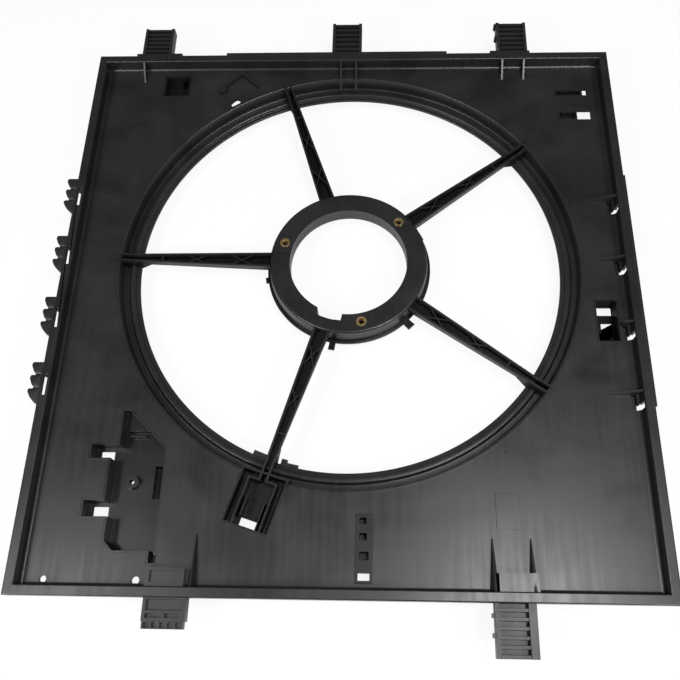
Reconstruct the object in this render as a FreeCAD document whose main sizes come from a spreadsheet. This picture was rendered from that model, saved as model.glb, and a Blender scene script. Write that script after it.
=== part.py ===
import FreeCAD, Part
import os
import re
import Sketcher

# Radiator fan shroud: one black injection moulding with pressed-in brass inserts.
# Its open tray faces +Z, towards the radiator; the fan runs behind it, in the collar.
# The origin is on the fan's axis, at the front face of the motor ring. X is across,
# Y is up towards the three top clips. The regions of the moulding are separate solids
# that meet face to face, each in its own node.

doc = FreeCAD.newDocument("radiator_fan_shroud")
sizes = doc.addObject("Spreadsheet::Sheet", "Sizes")

# Driving dimensions, in millimetres and degrees.
DRIVING = [
    ("frame_w", 660, "outer width of the rim"),
    ("frame_l", 679, "outer length of the rim, from bottom edge to top edge"),
    ("axis_right", 2.7, "fan axis to the right of the rim's centre"),
    ("axis_up", 40.5, "fan axis above the rim's centre"),
    ("wall", 2.8, "wall of the panel and the rim"),
    ("thin", 2.2, "wall of pockets, ribs and struts"),
    ("rim_rise", 14.5, "rim's top above the panel's front face"),
    ("rim_band", 10.5, "width of the rim's flat top"),
    ("rim_lip", 12, "height of the turned-down lip round the rim"),
    ("foot", 3.2, "fillet at the foot of the tray's walls"),
    ("rim_round", 1.4, "rounding of the rim's top edges"),
    ("pad_rise", 4.4, "raised stretches of the rim's top edge"),
    ("opening_r", 249.2, "radius of the fan opening at its lip"),
    ("lip_low", 16, "depth of the opening's lip below the panel's front"),
    ("lip_width", 5.5, "flat of the lip inside the bead"),
    ("bead_width", 6, "width of the bead round the opening"),
    ("bead_rise", 3.6, "height of the bead above the lip"),
    ("groove_width", 4.5, "width of the groove outside the bead"),
    ("ring_skirt", 4, "band of flat panel that belongs to the ring"),
    ("collar_gap", 15, "fan collar's wall outside the opening's edge"),
    ("collar_low", 34, "depth of the collar's rear edge below the panel's front"),
    ("hub_bore_r", 69, "radius of the motor's hole"),
    ("hub_r", 92.5, "radius of the motor ring's front face"),
    ("hub_low", 22, "depth of the motor ring's rear flange"),
    ("hub_bore_low", 18, "depth of the motor's hole"),
    ("hub_flange", 3, "rear flange outside the motor ring's wall"),
    ("hub_round", 2.6, "rounding of the motor ring's front edge"),
    ("notch_r", 77, "radius of the notch in the motor's hole"),
    ("notch_from", 237, "angle where the notch starts"),
    ("notch_to", 266, "angle where the notch ends"),
    ("bolt_circle_r", 79.6, "radius of the motor's bolt circle"),
    ("bolt_angle", 41.9, "angle of the first insert"),
    ("boss_r", 9.2, "radius of the insert bosses"),
    ("insert_r", 5, "radius of an insert's knurled body"),
    ("insert_flange_r", 6, "radius of an insert's flange"),
    ("insert_bore_r", 2.6, "bore of an M6 insert"),
    ("strut_w_hub", 19, "width of a strut at the motor ring"),
    ("strut_w_ring", 10, "width of a strut at the opening"),
    ("strut_low_hub", 11, "depth of a strut at the motor ring"),
    ("strut_low_ring", 9, "depth of a strut at the opening"),
    ("strut_lean", 1.2, "how far each side of a strut leans in over its depth"),
    ("strut_tip", 281, "radius where a strut's roots end on the panel"),
    ("strut_angle_a", 36.9, "angle of the upper right strut"),
    ("strut_angle_b", 108, "angle of the upper left strut"),
    ("strut_angle_c", 178.95, "angle of the left strut"),
    ("strut_angle_d", 252.1, "angle of the lower left strut"),
    ("strut_angle_e", 324.3, "angle of the lower right strut"),
    ("clip_w", 38.5, "width of a ribbed clip"),
    ("clip_reach", 45, "reach of a ribbed clip beyond the rim"),
    ("hook_reach", 13, "reach of the wire hooks beyond the rim"),
    ("hook_plate", 4, "thickness of the wire hooks"),
    ("side_pad", 2, "raised stretch of the rim's right edge"),
    ("hook_pitch", 80.4, "spacing of the wire hooks"),
    ("catch_pitch", 81.6, "spacing of the side catches"),
    ("bay_low", 21, "depth of the module bay"),
    ("holder_w", 52, "width of the connector holder"),
    ("holder_l", 62, "length of the connector holder"),
    ("holder_low", 21, "depth of the connector holder"),
    ("well_low", 20, "depth of the latch well"),
    ("recess_low", 12, "depth of the corner recess"),
    ("strip_low", 14, "depth of the tie strip"),
    ("slot_low", 10, "depth of the tongue slots"),
]
ALIASES = [alias for alias, value, meaning in DRIVING]
for row, (alias, value, meaning) in enumerate(DRIVING, 1):
    sizes.set("A%d" % row, meaning)
    sizes.set("B%d" % row, str(value))
    sizes.setAlias("B%d" % row, alias)
doc.recompute()

# Sizes that follow from the driving ones.
IN_W = "(frame_w / 2 - rim_band)"
IN_L = "(frame_l / 2 - rim_band)"
RING_R = "(opening_r + lip_width + bead_width + groove_width + 5 + ring_skirt)"
COLLAR_R = "(opening_r + collar_gap)"

nodes = []
cuts = []


def bound(text):
    """The expression with each alias pointing into the sheet."""
    return re.sub(r"[a-z_]+[a-z]", lambda m: "Sizes." + m[0] if m[0] in ALIASES else m[0], str(text))


def number(text):
    """The expression's present value."""
    return float(sizes.evalExpression(bound(text)))


def turned(x, y, angle):
    """The expressions of a point turned about the axis by an angle."""
    across = f"(({x}) * cos({angle}) - ({y}) * sin({angle}))"
    up = f"(({x}) * sin({angle}) + ({y}) * cos({angle}))"
    return across, up


def new_body(label, x="0", y="0", z="0", angle="0"):
    """A body whose placement follows the sheet."""
    body = doc.addObject("PartDesign::Body", label)
    body.Label = label
    for axis, text in zip("xyz", (x, y, z)):
        body.setExpression("Placement.Base." + axis, bound(text))
    body.setExpression("Placement.Rotation.Angle", bound(angle))
    return body


def tray_body(label):
    """A body that is measured from the rim's centre."""
    return new_body(label, "-axis_right", "-axis_up")


def keep(body):
    """Count an object as a node."""
    nodes.append(body)
    return body


def sketch(body, role="XY_Plane", height="0"):
    """A sketch on one of the body's own planes, lifted along the plane's normal."""
    drawn = body.newObject("Sketcher::SketchObject", "outline")
    plane = [f for f in body.Origin.OriginFeatures if f.Role == role][0]
    drawn.AttachmentSupport = [(plane, "")]
    drawn.MapMode = "FlatFace"
    drawn.setExpression("AttachmentOffset.Base.z", bound(height))
    return drawn


def pin_point(drawn, edge, end, x, y):
    """Hold one point of the sketch at two expressions."""
    for kind, text in (("DistanceX", x), ("DistanceY", y)):
        if text is None:
            continue
        k = drawn.addConstraint(Sketcher.Constraint(kind, -1, 1, edge, end, number(text)))
        name = "%s_%d_%d" % (kind, edge, end)
        drawn.renameConstraint(k, name)
        drawn.setExpression("Constraints." + name, bound(text))


def outline(drawn, corners):
    """A closed outline. A corner is (x, y), or (x, y, cx, cy) where the edge that
    arrives there is an arc round (cx, cy)."""
    first = drawn.GeometryCount
    places = [FreeCAD.Vector(number(c[0]), number(c[1]), 0) for c in corners]
    count = len(corners)
    starts = []
    for k, corner in enumerate(corners):
        a = places[k - 1]
        b = places[k]
        if len(corner) == 2:
            drawn.addGeometry(Part.LineSegment(a, b), False)
            starts.append((1, 2))
            continue
        c = FreeCAD.Vector(number(corner[2]), number(corner[3]), 0)
        ccw = ((a - c).cross(b - c)).z > 0
        low, high = (a, b) if ccw else (b, a)
        circle = Part.Circle(c, FreeCAD.Vector(0, 0, 1), (a - c).Length)
        arc = Part.ArcOfCircle(circle, circle.parameter(low), circle.parameter(high))
        drawn.addGeometry(arc, False)
        starts.append((1, 2) if ccw else (2, 1))
    for k in range(count):
        after = (k + 1) % count
        joint = (first + k, starts[k][1], first + after, starts[after][0])
        drawn.addConstraint(Sketcher.Constraint("Coincident", *joint))
        pin_point(drawn, first + k, starts[k][1], corners[k][0], corners[k][1])
        if len(corners[k]) == 4:
            chord = places[k] - places[k - 1]
            steep = abs(chord.y) > abs(chord.x)
            centre = (corners[k][2], None) if steep else (None, corners[k][3])
            pin_point(drawn, first + k, 3, *centre)


def circle(drawn, x, y, r):
    """A circle held at its centre and radius."""
    centre = FreeCAD.Vector(number(x), number(y), 0)
    k = drawn.addGeometry(Part.Circle(centre, FreeCAD.Vector(0, 0, 1), number(r)), False)
    pin_point(drawn, k, 3, x, y)
    c = drawn.addConstraint(Sketcher.Constraint("Radius", k, number(r)))
    drawn.renameConstraint(c, "radius_%d" % k)
    drawn.setExpression("Constraints.radius_%d" % k, bound(r))


def box(x_low, x_high, y_low, y_high):
    """The four corners of an upright rectangle."""
    return [(x_low, y_low), (x_high, y_low), (x_high, y_high), (x_low, y_high)]


def add_down(body, shapes, top, depth, holes=()):
    """Pad outlines from a height downwards; circles are (x, y, r)."""
    drawn = sketch(body, "XY_Plane", top)
    for shape in list(shapes) + list(holes):
        if len(shape) == 3 and not isinstance(shape[0], (tuple, list)):
            circle(drawn, *shape)
        else:
            outline(drawn, shape)
    pad = body.newObject("PartDesign::Pad", "pad")
    pad.Profile = drawn
    pad.Reversed = True
    pad.setExpression("Length", bound(depth))
    return pad


def cut_down(body, shapes, top, depth):
    """Pocket outlines from a height downwards; circles are (x, y, r)."""
    drawn = sketch(body, "XY_Plane", top)
    for shape in shapes:
        if len(shape) == 3 and not isinstance(shape[0], (tuple, list)):
            circle(drawn, *shape)
        else:
            outline(drawn, shape)
    pocket = body.newObject("PartDesign::Pocket", "pocket")
    pocket.Profile = drawn
    pocket.setExpression("Length", bound(depth))
    cuts.append(pocket)
    return pocket


def add_slab(body, role, corners, middle, thickness):
    """Pad an outline on an upright plane, half to each side of its middle."""
    drawn = sketch(body, role, middle)
    outline(drawn, corners)
    pad = body.newObject("PartDesign::Pad", "slab")
    pad.Profile = drawn
    pad.Midplane = True
    pad.setExpression("Length", bound(thickness))
    return pad


def turn_round(body, corners):
    """Revolve a section, given as radius and height, round the body's Z axis."""
    drawn = sketch(body, "XZ_Plane")
    outline(drawn, corners)
    turning = body.newObject("PartDesign::Revolution", "turning")
    turning.Profile = drawn
    turning.ReferenceAxis = (drawn, ["V_Axis"])
    turning.Angle = 360
    return turning


def capsule(x, y, half, r, angle):
    """Corners of a round-ended hole, drawn as straight sides and quarter arcs."""
    ends = [(half, "-" + r, None), (f"{half} + {r}", "0", half), (half, r, half),
            ("-" + half, r, None), (f"-{half} - {r}", "0", "-" + half), ("-" + half, "-" + r, "-" + half)]
    corners = []
    for along, across, centre in ends:
        px, py = turned(along, across, angle)
        corner = (f"{x} + {px}", f"{y} + {py}")
        if centre is not None:
            cx, cy = turned(centre, "0", angle)
            corner += (f"{x} + {cx}", f"{y} + {cy}")
        corners.append(corner)
    return corners


# --- Places on the moulding that several regions share -------------------------------

# Each clip's middle along the edge and how far it reaches beyond it.
TOP_CLIPS = {"left": ("-255.5", "clip_reach - 3"),
             "middle": ("-5", "clip_reach + 3"),
             "right": ("210", "clip_reach + 2")}
STEPS = (1.5, 0.5, -0.5, -1.5)
CATCH_AT = "({} * catch_pitch)"
HOOK_AT = "({} * hook_pitch + 3)"
CATCH_SLIT = "14.75"
SLIT_W = 7
FIN_LONG = 38
FIN_SHORT = 10.5

# Outline of the module bay, with two side wells and a foot at its lower right.
BAY = [("-240", "-143"), ("-240", "-181"), ("-270", "-181"), ("-270", "-200"), ("-248", "-200"),
       ("-248", "-241"), ("-270", "-241"), ("-270", "-262"), ("-243", "-262"), ("-243", "-285"),
       ("-232", "-296"), ("-195", "-296"), ("-195", "-308"), ("-183", "-308"), ("-183", "-296"),
       ("-186", "-292"), ("-186", "-185"), ("-231", "-143")]
BAY_IN = [("-240 + thin", "-143 - thin"), ("-240 + thin", "-181 - thin"), ("-270 + thin", "-181 - thin"),
          ("-270 + thin", "-200 + thin"), ("-248 + thin", "-200 + thin"), ("-248 + thin", "-241 - thin"),
          ("-270 + thin", "-241 - thin"), ("-270 + thin", "-262 + thin"), ("-243 + thin", "-262 + thin"),
          ("-243 + thin", "-285 + thin * 0.414"), ("-232 + thin * 0.414", "-296 + thin"),
          ("-186 - thin", "-296 + thin"), ("-186 - thin", "-185 - thin * 0.414"),
          ("-231 - thin * 0.414", "-143 - thin")]
RECESS = ("-245", "-210", "284", "318")
WELL = (f"{IN_W} - 37.5", f"{IN_W} - 10.5", "-62", "-8")
SLOT_UPPER = (f"{IN_W} - 57.5", f"{IN_W} - 23.5", f"{IN_L} - 48", f"{IN_L} - 38")
SLOT_LOWER = (f"{IN_W} - 55.5", f"{IN_W} - 31.5", f"{IN_L} - 85", f"{IN_L} - 72")
STRIP = ("16", "34", "-323", "-254")


def holder_box(grow="0"):
    """Corners of the connector holder, in the fan's frame, on the lower left strut's line."""
    near = f"({RING_R} - 9 - ({grow}))"
    far = f"({RING_R} - 9 + holder_l + ({grow}))"
    side = f"(holder_w / 2 + ({grow}))"
    flat = box(near, far, "-" + side, side)
    return [turned(x, y, "strut_angle_d") for x, y in flat]


def from_tray(corners):
    """The fan frame's corners as measured from the rim's centre."""
    return [(f"({x} + axis_right)", f"({y} + axis_up)") for x, y in corners]


# --- Back panel ----------------------------------------------------------------------

panel = keep(tray_body("back_panel"))
add_down(panel, [box(f"-{IN_W}", IN_W, f"-{IN_L}", IN_L)], "0", "wall",
         holes=[("axis_right", "axis_up", RING_R)])
cut_down(panel, [BAY, box(*RECESS), box(*WELL), box(*SLOT_UPPER), box(*SLOT_LOWER), box(*STRIP)],
         "0", "wall")
cut_down(panel, [from_tray(holder_box())], "0", "wall")
for step in STEPS:
    fin_y = CATCH_AT.format(step)
    cut_down(panel, [box(f"{IN_W} - 10.5", IN_W, f"{fin_y} - {CATCH_SLIT} - 5", f"{fin_y} + 1.2")],
             "0", "wall")
# Two drain holes beside the bottom wall, and a slanted oblong hole above the opening.
cut_down(panel, [("-297", f"-{IN_L} + 6", "3.4"), ("-203", f"-{IN_L} + 6", "3.9")], "0", "wall")
cut_down(panel, [capsule("-148", "273", "2.6", "4", "46")], "0", "wall")
# Holes beyond the outer ends of the two tongue slots.
cut_down(panel, [box(f"{IN_W} - 22", f"{IN_W} - 16.5", f"{IN_L} - 47", f"{IN_L} - 38"),
                 box(f"{IN_W} - 31.5", f"{IN_W} - 14.5", f"{IN_L} - 85", f"{IN_L} - 72")], "0", "wall")
# A dimple below the opening and a low plate under it.
cut_down(panel, [("172", "-187", "1.6")], "0", "wall / 2")
add_down(panel, [box("159.5", "184", "-268", "-231")], "0.6", "0.6 + wall / 2")


# --- Rim: four mitred sides with a foot fillet, a flat top and a turned-down lip -----

def rim_side(label, inner_half, angle, out_expr):
    """One side in its own frame: X along it, Y outwards from the wall's inner face."""
    shift = {"0": ("-axis_right", f"-axis_up + {out_expr}"),
             "180": ("-axis_right", f"-axis_up - {out_expr}"),
             "90": (f"-axis_right - {out_expr}", "-axis_up"),
             "270": (f"-axis_right + {out_expr}", "-axis_up")}[angle]
    body = new_body(label, shift[0], shift[1], "0", angle)
    section = [("-foot", "0"),
               ("0", "foot", "-foot", "foot"),
               ("0", "rim_rise - rim_round"),
               ("rim_round", "rim_rise", "rim_round", "rim_rise - rim_round"),
               ("rim_band - rim_round", "rim_rise"),
               ("rim_band", "rim_rise - rim_round", "rim_band - rim_round", "rim_rise - rim_round"),
               ("rim_band", "rim_rise - rim_lip"),
               ("rim_band - thin", "rim_rise - rim_lip"),
               ("rim_band - thin", "rim_rise - wall"),
               ("wall", "rim_rise - wall"),
               ("wall", "-wall"),
               ("0", "-wall"),
               ("0", "0")]
    long_half = f"({inner_half} + rim_band)"
    add_slab(body, "YZ_Plane", section, "0", f"2 * {long_half}")
    for sign in ("-", ""):
        corner = [(f"{sign}({inner_half} - 2 * foot)", "-2 * foot"),
                  (f"{sign}({inner_half} + 2 * rim_band)", "2 * rim_band"),
                  (f"{sign}({inner_half} + 2 * rim_band)", "-2 * foot")]
        cut_down(body, [corner], "rim_rise + 1", "rim_rise + wall + 2")
    return body


rim_top = keep(rim_side("rim_top", IN_W, "0", IN_L))
rim_bottom = keep(rim_side("rim_bottom", IN_W, "180", IN_L))
rim_left = keep(rim_side("rim_left", IN_L, "90", IN_W))
rim_right = keep(rim_side("rim_right", IN_L, "270", IN_W))

# Raised stretches along the top edge.
for x_low, x_high in (("-282", "-222"), ("-163", "125"), ("181", "232")):
    add_down(rim_top, [box(x_low, x_high, "rim_band - thin", "rim_band + pad_rise")],
             "rim_rise - rim_round", "rim_lip - rim_round")
# Thin gussets that carry the top clips' load down the wall on to the panel.
for x, reach in (("-271", "21"), ("-12.2", "36"), ("7.4", "36"), ("196.5", "21"), ("224", "21")):
    add_slab(rim_top, "YZ_Plane", [(f"-{reach}", "0"), ("0", "0"), ("0", "rim_rise - 1")], x, "thin")
# Wedge gussets and inner blocks behind the two bottom clips; this side is turned half
# round, so its X runs the other way.
for x, wide in (("145", "8"), ("-154", "9.5"), ("-192.5", "9.5")):
    ends = []
    for height, low_half, top_half, rise in (("-wall / 2", f"{wide} / 2", "1", "rim_rise - wall - 0.5"),
                                             ("52", "0.8", "0.4", "0.6")):
        drawn = sketch(rim_bottom, "XZ_Plane", height)
        outline(drawn, [(f"{x} - {low_half}", "0"), (f"{x} + {low_half}", "0"),
                        (f"{x} + {top_half}", rise), (f"{x} - {top_half}", rise)])
        ends.append(drawn)
    wedge = rim_bottom.newObject("PartDesign::AdditiveLoft", "wedge")
    wedge.Profile = ends[0]
    wedge.Sections = [ends[1]]
    wedge.Ruled = True
add_down(rim_bottom, [box("152", "191", "-18", "0"), box("-197", "-158", "-18", "0")], "9", "9")
cut_down(rim_bottom, [box("156", "187", "-15", "-4")], "9", "3")
# Raised stretch along the right edge.
add_down(rim_right, [box("-150", "140", "rim_band - thin", "rim_band + side_pad")],
         "rim_rise - rim_round", "rim_lip - rim_round")
# Slits behind the wire hooks, through the left side's top, and the lip cut away below
# each hook, which leaves the way through open.
for step in STEPS:
    slit_y = HOOK_AT.format(step)
    cut_down(rim_left, [box(f"{slit_y} - 15", f"{slit_y} + 9", "rim_band - 7.5", "rim_band - 3.4")],
             "rim_rise + 1", "wall + 2")
    cut_down(rim_left, [box(f"{slit_y} - 15", f"{slit_y} + 9", "rim_band - thin - 0.5", "rim_band + 0.5")],
             "rim_rise - 0.5 - hook_plate", "rim_lip")
# Slits through the foot of the right wall, for the side catches.
for step in STEPS:
    slit_x = f"(-1 * {CATCH_AT.format(step)} + {CATCH_SLIT})"
    half = SLIT_W / 2
    cut_down(rim_right, [box(f"{slit_x} - {half}", f"{slit_x} + {half}", "-foot - 1", "wall + 0.1")],
             "rim_rise - wall - 0.5", "rim_rise + 1")


# --- Stepped ring round the opening, with the fan's collar behind it -----------------

ring = new_body("ring_turned")
LIP = "opening_r"
BEAD_IN = "(opening_r + lip_width)"
BEAD_OUT = "(opening_r + lip_width + bead_width)"
GROOVE_OUT = "(opening_r + lip_width + bead_width + groove_width + 3.4)"
FLAT_IN = f"({RING_R} - ring_skirt)"
turn_round(ring, [
    (LIP, "-lip_low"),
    (LIP, "-lip_low - wall"),
    (COLLAR_R, "-lip_low - wall"),
    (COLLAR_R, "-collar_low"),
    (f"{COLLAR_R} + wall", "-collar_low"),
    (f"{COLLAR_R} + wall", "-lip_low - wall"),
    (f"{GROOVE_OUT} + wall", "-lip_low - wall"),
    (f"{FLAT_IN} + wall * 0.7", "-wall"),
    (RING_R, "-wall"),
    (RING_R, "0"),
    (f"{FLAT_IN} + 1.5", "0"),
    (f"{FLAT_IN} + 0.3", "-0.5"),
    (f"{FLAT_IN} - 0.1", "-1.7"),
    (GROOVE_OUT, "-lip_low"),
    (f"{BEAD_OUT} + 1.6", "-lip_low"),
    (BEAD_OUT, "-lip_low + bead_rise - 1.5"),
    (f"{BEAD_OUT} - 1.4", "-lip_low + bead_rise"),
    (f"{BEAD_IN} + 1.5", "-lip_low + bead_rise"),
    (BEAD_IN, "-lip_low + bead_rise - 1.4"),
    (f"{BEAD_IN} - 0.6", "-lip_low + 0.8"),
])
cut_down(ring, [holder_box()], "1", "holder_low + 1")
# Three small lugs on the lip's edge, beside the lower left strut.
for start, end, reach in (("-5.6", "-1.6", "5"), ("1.9", "3.4", "6.2"), ("3.4", "6.4", "3.2")):
    a = f"(strut_angle_d + {start})"
    b = f"(strut_angle_d + {end})"
    tip = f"(opening_r - {reach})"
    add_down(ring, [[turned("opening_r + 1", "0", a), turned(tip, "0", a),
                     turned(tip, "0", b), turned("opening_r + 1", "0", b)]], "-lip_low", "wall")


# --- Motor ring ----------------------------------------------------------------------

hub = keep(new_body("motor_ring"))
turn_round(hub, [
    ("hub_bore_r", "0"),
    ("hub_bore_r", "-hub_bore_low"),
    ("hub_bore_r + thin", "-hub_bore_low"),
    ("hub_bore_r + thin", "-wall"),
    ("hub_r - thin", "-wall"),
    ("hub_r - thin + 1.5", "-hub_low"),
    ("hub_r + 1.5 + hub_flange", "-hub_low"),
    ("hub_r + 1.5 + hub_flange", "-hub_low + wall"),
    ("hub_r + 1.5", "-hub_low + wall"),
    ("hub_r", "-hub_round"),
    ("hub_r - hub_round", "0", "hub_r - hub_round", "-hub_round"),
])

# Wall behind the notch, then the notch itself.
add_down(hub, [[turned("hub_bore_r + 1", "0", "notch_from - 2"),
                turned("notch_r + thin", "0", "notch_from - 2"),
                turned("notch_r + thin", "0", "notch_to + 2") + ("0", "0"),
                turned("hub_bore_r + 1", "0", "notch_to + 2"),
                turned("hub_bore_r + 1", "0", "notch_from - 2") + ("0", "0")][1:]],
         "0", "hub_bore_low")
cut_down(hub, [[turned("hub_bore_r - 6", "0", "notch_from + 0.5"),
                turned("notch_r", "0", "notch_from + 6.5"),
                turned("notch_r", "0", "notch_to - 1.5") + ("0", "0"),
                turned("hub_bore_r - 6", "0", "notch_to")]],
         "1", "hub_bore_low + 2")
# A shallow landing in line with each strut, and small lugs on the rear flange.
STRUT_ANGLES = ["strut_angle_" + letter for letter in "abcde"]
cut_down(hub, [[turned("hub_bore_r + 2", "-9", angle), turned("hub_r - hub_round", "-9", angle),
                turned("hub_r - hub_round", "9", angle), turned("hub_bore_r + 2", "9", angle)]
               for angle in STRUT_ANGLES], "1", "1.8")
for start, end, reach in (("24.5", "30", "98.5"), ("187", "191", "100"), ("258", "262", "106"),
                          ("312", "317", "106")):
    add_down(hub, [[turned("hub_r + 1", "0", start), turned(reach, "0", start),
                    turned(reach, "0", end), turned("hub_r + 1", "0", end)]], "-hub_low + wall", "wall")
# Bosses and their holes for the inserts.
BOLT_ANGLES = [f"(bolt_angle + {turn})" for turn in (0, 120, 240)]
boss_places = [turned("bolt_circle_r", "0", angle) for angle in BOLT_ANGLES]
add_down(hub, [(x, y, "boss_r") for x, y in boss_places], "0", "hub_bore_low")
cut_down(hub, [(x, y, "insert_r") for x, y in boss_places], "1", "hub_bore_low + 2")
cut_down(hub, [(x, y, "insert_flange_r") for x, y in boss_places], "0", "0.6")


# --- Brass inserts: knurled bodies with a thin flange, threaded M6 -------------------

inserts = []
for place, angle in zip("abc", BOLT_ANGLES):
    x, y = turned("bolt_circle_r", "0", angle)
    insert = new_body("insert_" + place, x, y)
    turn_round(insert, [
        ("insert_bore_r + 1", "0.3"),
        ("insert_bore_r", "-0.7"),
        ("insert_bore_r", "-12"),
        ("insert_r - 0.4", "-12"),
        ("insert_r", "-11.5"),
        ("insert_r", "-0.6"),
        ("insert_flange_r", "-0.6"),
        ("insert_flange_r", "0.3"),
    ])
    inserts.append(insert)
insert_group = doc.addObject("Part::Compound", "threaded_inserts")
insert_group.Label = "threaded_inserts"
insert_group.Links = inserts
keep(insert_group)


# --- Five struts: tapered open channels with crossed ribs ----------------------------

def strut_form(label, angle, tips):
    """A channel in its own frame, X outwards from the fan's axis. It reaches into the
    motor ring and the stepped ring, which are taken off it afterwards."""
    body = new_body(label, "0", "0", "0", angle)
    start = "hub_r - 1.2"
    end = f"{BEAD_IN} + 1"
    outer = []
    for at, wide, low in ((start, "strut_w_hub", "strut_low_hub"), (end, "strut_w_ring", "strut_low_ring")):
        drawn = sketch(body, "YZ_Plane", at)
        outline(drawn, [(f"-{wide} / 2 + strut_lean", f"-{low}"), (f"{wide} / 2 - strut_lean", f"-{low}"),
                        (f"{wide} / 2", "0"), (f"-{wide} / 2", "0")])
        outer.append(drawn)
    solid = body.newObject("PartDesign::AdditiveLoft", "channel")
    solid.Profile = outer[0]
    solid.Sections = [outer[1]]
    solid.Ruled = True
    inner = []
    for at, wide, low in ((start, "strut_w_hub", "strut_low_hub"), (end, "strut_w_ring", "strut_low_ring")):
        drawn = sketch(body, "YZ_Plane", at)
        inner_half = f"({wide} / 2 - thin)"
        outline(drawn, [(f"-{inner_half} + strut_lean", f"-{low} + thin"),
                        (f"{inner_half} - strut_lean", f"-{low} + thin"),
                        (inner_half, "1"), ("-" + inner_half, "1")])
        inner.append(drawn)
    hollow = body.newObject("PartDesign::SubtractiveLoft", "hollow")
    hollow.Profile = inner[0]
    hollow.Sections = [inner[1]]
    hollow.Ruled = True
    cuts.append(hollow)
    # Crossed ribs at two places and one straight rib further out.
    slope_text = f"((strut_w_hub - strut_w_ring) / ({end} - ({start})))"
    span = "(opening_r - hub_r)"
    for middle, reach in ((f"(hub_r + {span} * 0.213)", "13.5"), (f"(hub_r + {span} * 0.558)", "12")):
        half = f"(strut_w_hub / 2 - thin * 0.7 - {slope_text} * ({middle} - ({start})) / 2)"
        for sign in ("", "-"):
            bar = [(f"{middle} - {reach} - 1.5", f"{sign}(0 - {half})"),
                   (f"{middle} - {reach} + 1.5", f"{sign}(0 - {half})"),
                   (f"{middle} + {reach} + 1.5", f"{sign}({half})"),
                   (f"{middle} + {reach} - 1.5", f"{sign}({half})")]
            add_down(body, [bar], "-1.5", "strut_low_ring - 2.5")
    rib_x = f"(hub_r + {span} * 0.817)"
    add_down(body, [box(f"{rib_x} - 1", f"{rib_x} + 1", "-strut_w_ring / 2 + 0.5", "strut_w_ring / 2 - 0.5")],
             "-1.5", "strut_low_ring - 2.5")
    # Side walls that run on across the ring and fade out on the panel.
    root = [("opening_r - 14", "-strut_low_ring + 0.5"),
            ("opening_r - 1", "-lip_low - wall / 2"),
            (f"{GROOVE_OUT} + 1", "-lip_low - wall / 2"),
            (f"{FLAT_IN} + 0.8", "-wall"),
            (f"{FLAT_IN} + 1.8", "0")]
    if tips:
        root += [("strut_tip", "0"), (f"{FLAT_IN} + 1", "1.8"), ("opening_r - 2", "0")]
    else:
        root += [("opening_r - 2", "0")]
    for side in ("-", ""):
        add_slab(body, "XZ_Plane", root, f"{side}(strut_w_ring / 2 - thin / 2)", "thin")
    return body


strut_tools = doc.addObject("Part::Compound", "rings_round_the_struts")
strut_tools.Links = [ring, hub]
STRUTS = [("strut_upper_right", True), ("strut_upper_left", True), ("strut_left", True),
          ("strut_lower_left", False), ("strut_lower_right", True)]
struts = []
for (label, tips), angle in zip(STRUTS, STRUT_ANGLES):
    form = strut_form(label + "_form", angle, tips)
    strut = doc.addObject("Part::Cut", label)
    strut.Label = label
    strut.Base = form
    strut.Tool = strut_tools
    struts.append(keep(strut))
ring.Label = "venturi_ring"
keep(ring)


# --- Ribbed clips --------------------------------------------------------------------

def ribbed_clip(label, x, reach, top_edge, wide="clip_w", rails=("4", "4"), teeth=()):
    """A ladder of bars between two rails, on a tongue that ends in a hook. In its own
    frame Y points outwards from the rim's lip. Teeth stand on one side, at (sign, Y)."""
    if top_edge:
        body = new_body(label, f"-axis_right + {x}", "-axis_up + frame_l / 2 + pad_rise", "0", "0")
    else:
        body = new_body(label, f"-axis_right + {x}", "-axis_up - frame_l / 2", "0", "180")
    low = "(rim_rise - rim_lip)"
    add_down(body, [box(f"-{wide} / 2", f"{wide} / 2", "0", reach)], f"{low} + thin", "thin")
    for side, rail_w in zip(("-", ""), rails):
        rail = box(f"{side}({wide} / 2)", f"{side}({wide} / 2 - {rail_w})", "0", reach)
        add_down(body, [rail], "rim_rise - 0.6", f"rim_rise - 0.6 - {low}")
    bars = []
    for k in range(6):
        at = f"(({reach}) * {k + 0.75} / 6)"
        bars.append(box(f"-{wide} / 2 + 2", f"{wide} / 2 - 2", f"{at} - 1.6", f"{at} + 1.6"))
    add_down(body, bars, "rim_rise - 2", f"rim_rise - 2 - {low}")
    for sign, y in teeth:
        tooth = box(f"{sign}({wide} / 2 - 1)", f"{sign}({wide} / 2 + 2.4)", f"{y} - 2.2", f"{y} + 2.2")
        add_down(body, [tooth], "rim_rise - 2", "rim_lip - 4")
    hook = [(f"{reach} - 9", low), (reach, low), (f"{reach} - 1", f"{low} - 4.5"),
            (f"{reach} - 3", f"{low} - 5")]
    add_slab(body, "YZ_Plane", hook, "0", f"{wide} - 10")
    return keep(body)


ribbed_clip("top_clip_left", *TOP_CLIPS["left"], True)
ribbed_clip("top_clip_middle", *TOP_CLIPS["middle"], True)
ribbed_clip("top_clip_right", *TOP_CLIPS["right"], True, teeth=[("-", "24"), ("-", "44")])
ribbed_clip("bottom_clip_right", "171.5", "clip_reach + 5", False, "(clip_w + 1.5)", ("8", "4"),
            [("", "11.5"), ("", "29.5")])

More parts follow.
